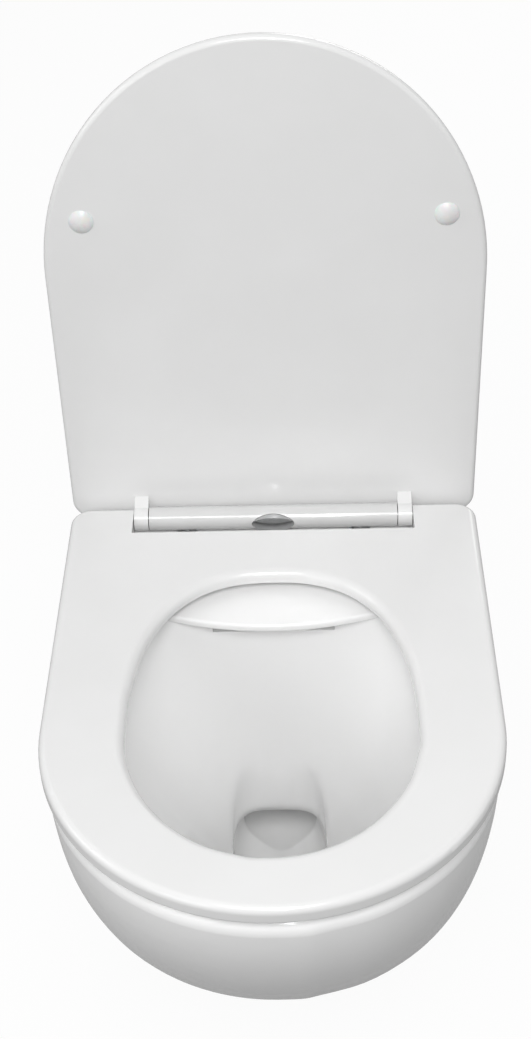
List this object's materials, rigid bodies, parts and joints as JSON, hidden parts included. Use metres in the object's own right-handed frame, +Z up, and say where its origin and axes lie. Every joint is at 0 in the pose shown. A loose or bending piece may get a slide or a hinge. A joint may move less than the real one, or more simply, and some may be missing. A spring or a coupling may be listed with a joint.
{
  "type": "wall-hung toilet",
  "caption": "Wall-hung rimless toilet pan with a D-shaped slow-closing seat and lid on a quick-release hinge bar, shown with the lid raised.",
  "frame": {"origin": "on the wall plane, midway between the two wall bolts", "axes": "+Y into the wall, -Y out to the front, +Z up, X across"},
  "size_m": [0.36, 0.522, 0.8015],
  "materials": {
    "ceramic": "glossy white glaze",
    "seat_resin": "glossy white thermoset",
    "hinge_plastic": "glossy white",
    "chrome": "polished chrome",
    "stainless": "turned stainless",
    "zinc": "zinc plated",
    "nylon": "natural nylon",
    "cap_plastic": "glossy white",
    "acetal": "dark grey acetal",
    "clear_rubber": "pale translucent rubber",
    "black_rubber": "black rubber",
    "grey_rubber": "grey rubber"
  },
  "bodies": {
    "pan": {"pan": "ceramic", "wall_sleeves": "nylon", "wall_washers": "zinc", "wall_nuts": "zinc", "inlet_seal": "black_rubber", "hinge_pillars": "stainless", "pillar_gaskets": "grey_rubber", "anchor_sleeves": "grey_rubber", "anchor_nuts": "acetal", "hinge_bar": "hinge_plastic", "latch_springs": "stainless", "seat_damper": "acetal", "lid_damper": "acetal"},
    "seat": {"seat": "seat_resin", "seat_bumpers": "clear_rubber", "seat_shaft": "stainless", "wing_bush": "nylon"},
    "lid": {"lid": "seat_resin", "lid_bumpers": "clear_rubber", "lid_shaft": "stainless", "ear_bush": "nylon"},
    "release_button": {"release_button": "chrome"},
    "latch_left": {"latch_left": "acetal"},
    "latch_right": {"latch_right": "acetal"},
    "wall_cap_left": {"wall_cap_left": "cap_plastic"},
    "wall_cap_right": {"wall_cap_right": "cap_plastic"}
  },
  "joints": [
    {"name": "seat_hinge", "type": "hinge", "parent": "pan", "child": "seat", "pos_m": [0, -0.075, 0.0925], "axis": [-1, 0, 0], "range_deg": [0, 90]},
    {"name": "lid_hinge", "type": "hinge", "parent": "pan", "child": "lid", "pos_m": [0, -0.075, 0.0925], "axis": [-1, 0, 0], "range_deg": [-90, 0]},
    {"name": "button_push", "type": "slide", "parent": "pan", "child": "release_button", "axis": [0, 1, 0], "range_m": [0, 0.003], "stiffness_N_per_m": 800},
    {"name": "latch_left_slide", "type": "slide", "parent": "pan", "child": "latch_left", "axis": [-1, 0, 0], "range_m": [0, 0.003], "deforming": ["latch_springs"]},
    {"name": "latch_right_slide", "type": "slide", "parent": "pan", "child": "latch_right", "axis": [1, 0, 0], "range_m": [0, 0.003]},
    {"name": "cap_left_pull", "type": "slide", "parent": "pan", "child": "wall_cap_left", "axis": [0, -1, 0], "range_m": [0, 0.035]},
    {"name": "cap_right_pull", "type": "slide", "parent": "pan", "child": "wall_cap_right", "axis": [0, -1, 0], "range_m": [0, 0.035]}
  ],
  "couplings": [
    {"joint": "latch_left_slide", "follows": "button_push", "ratio": 1},
    {"joint": "latch_right_slide", "follows": "button_push", "ratio": 1}
  ]
}
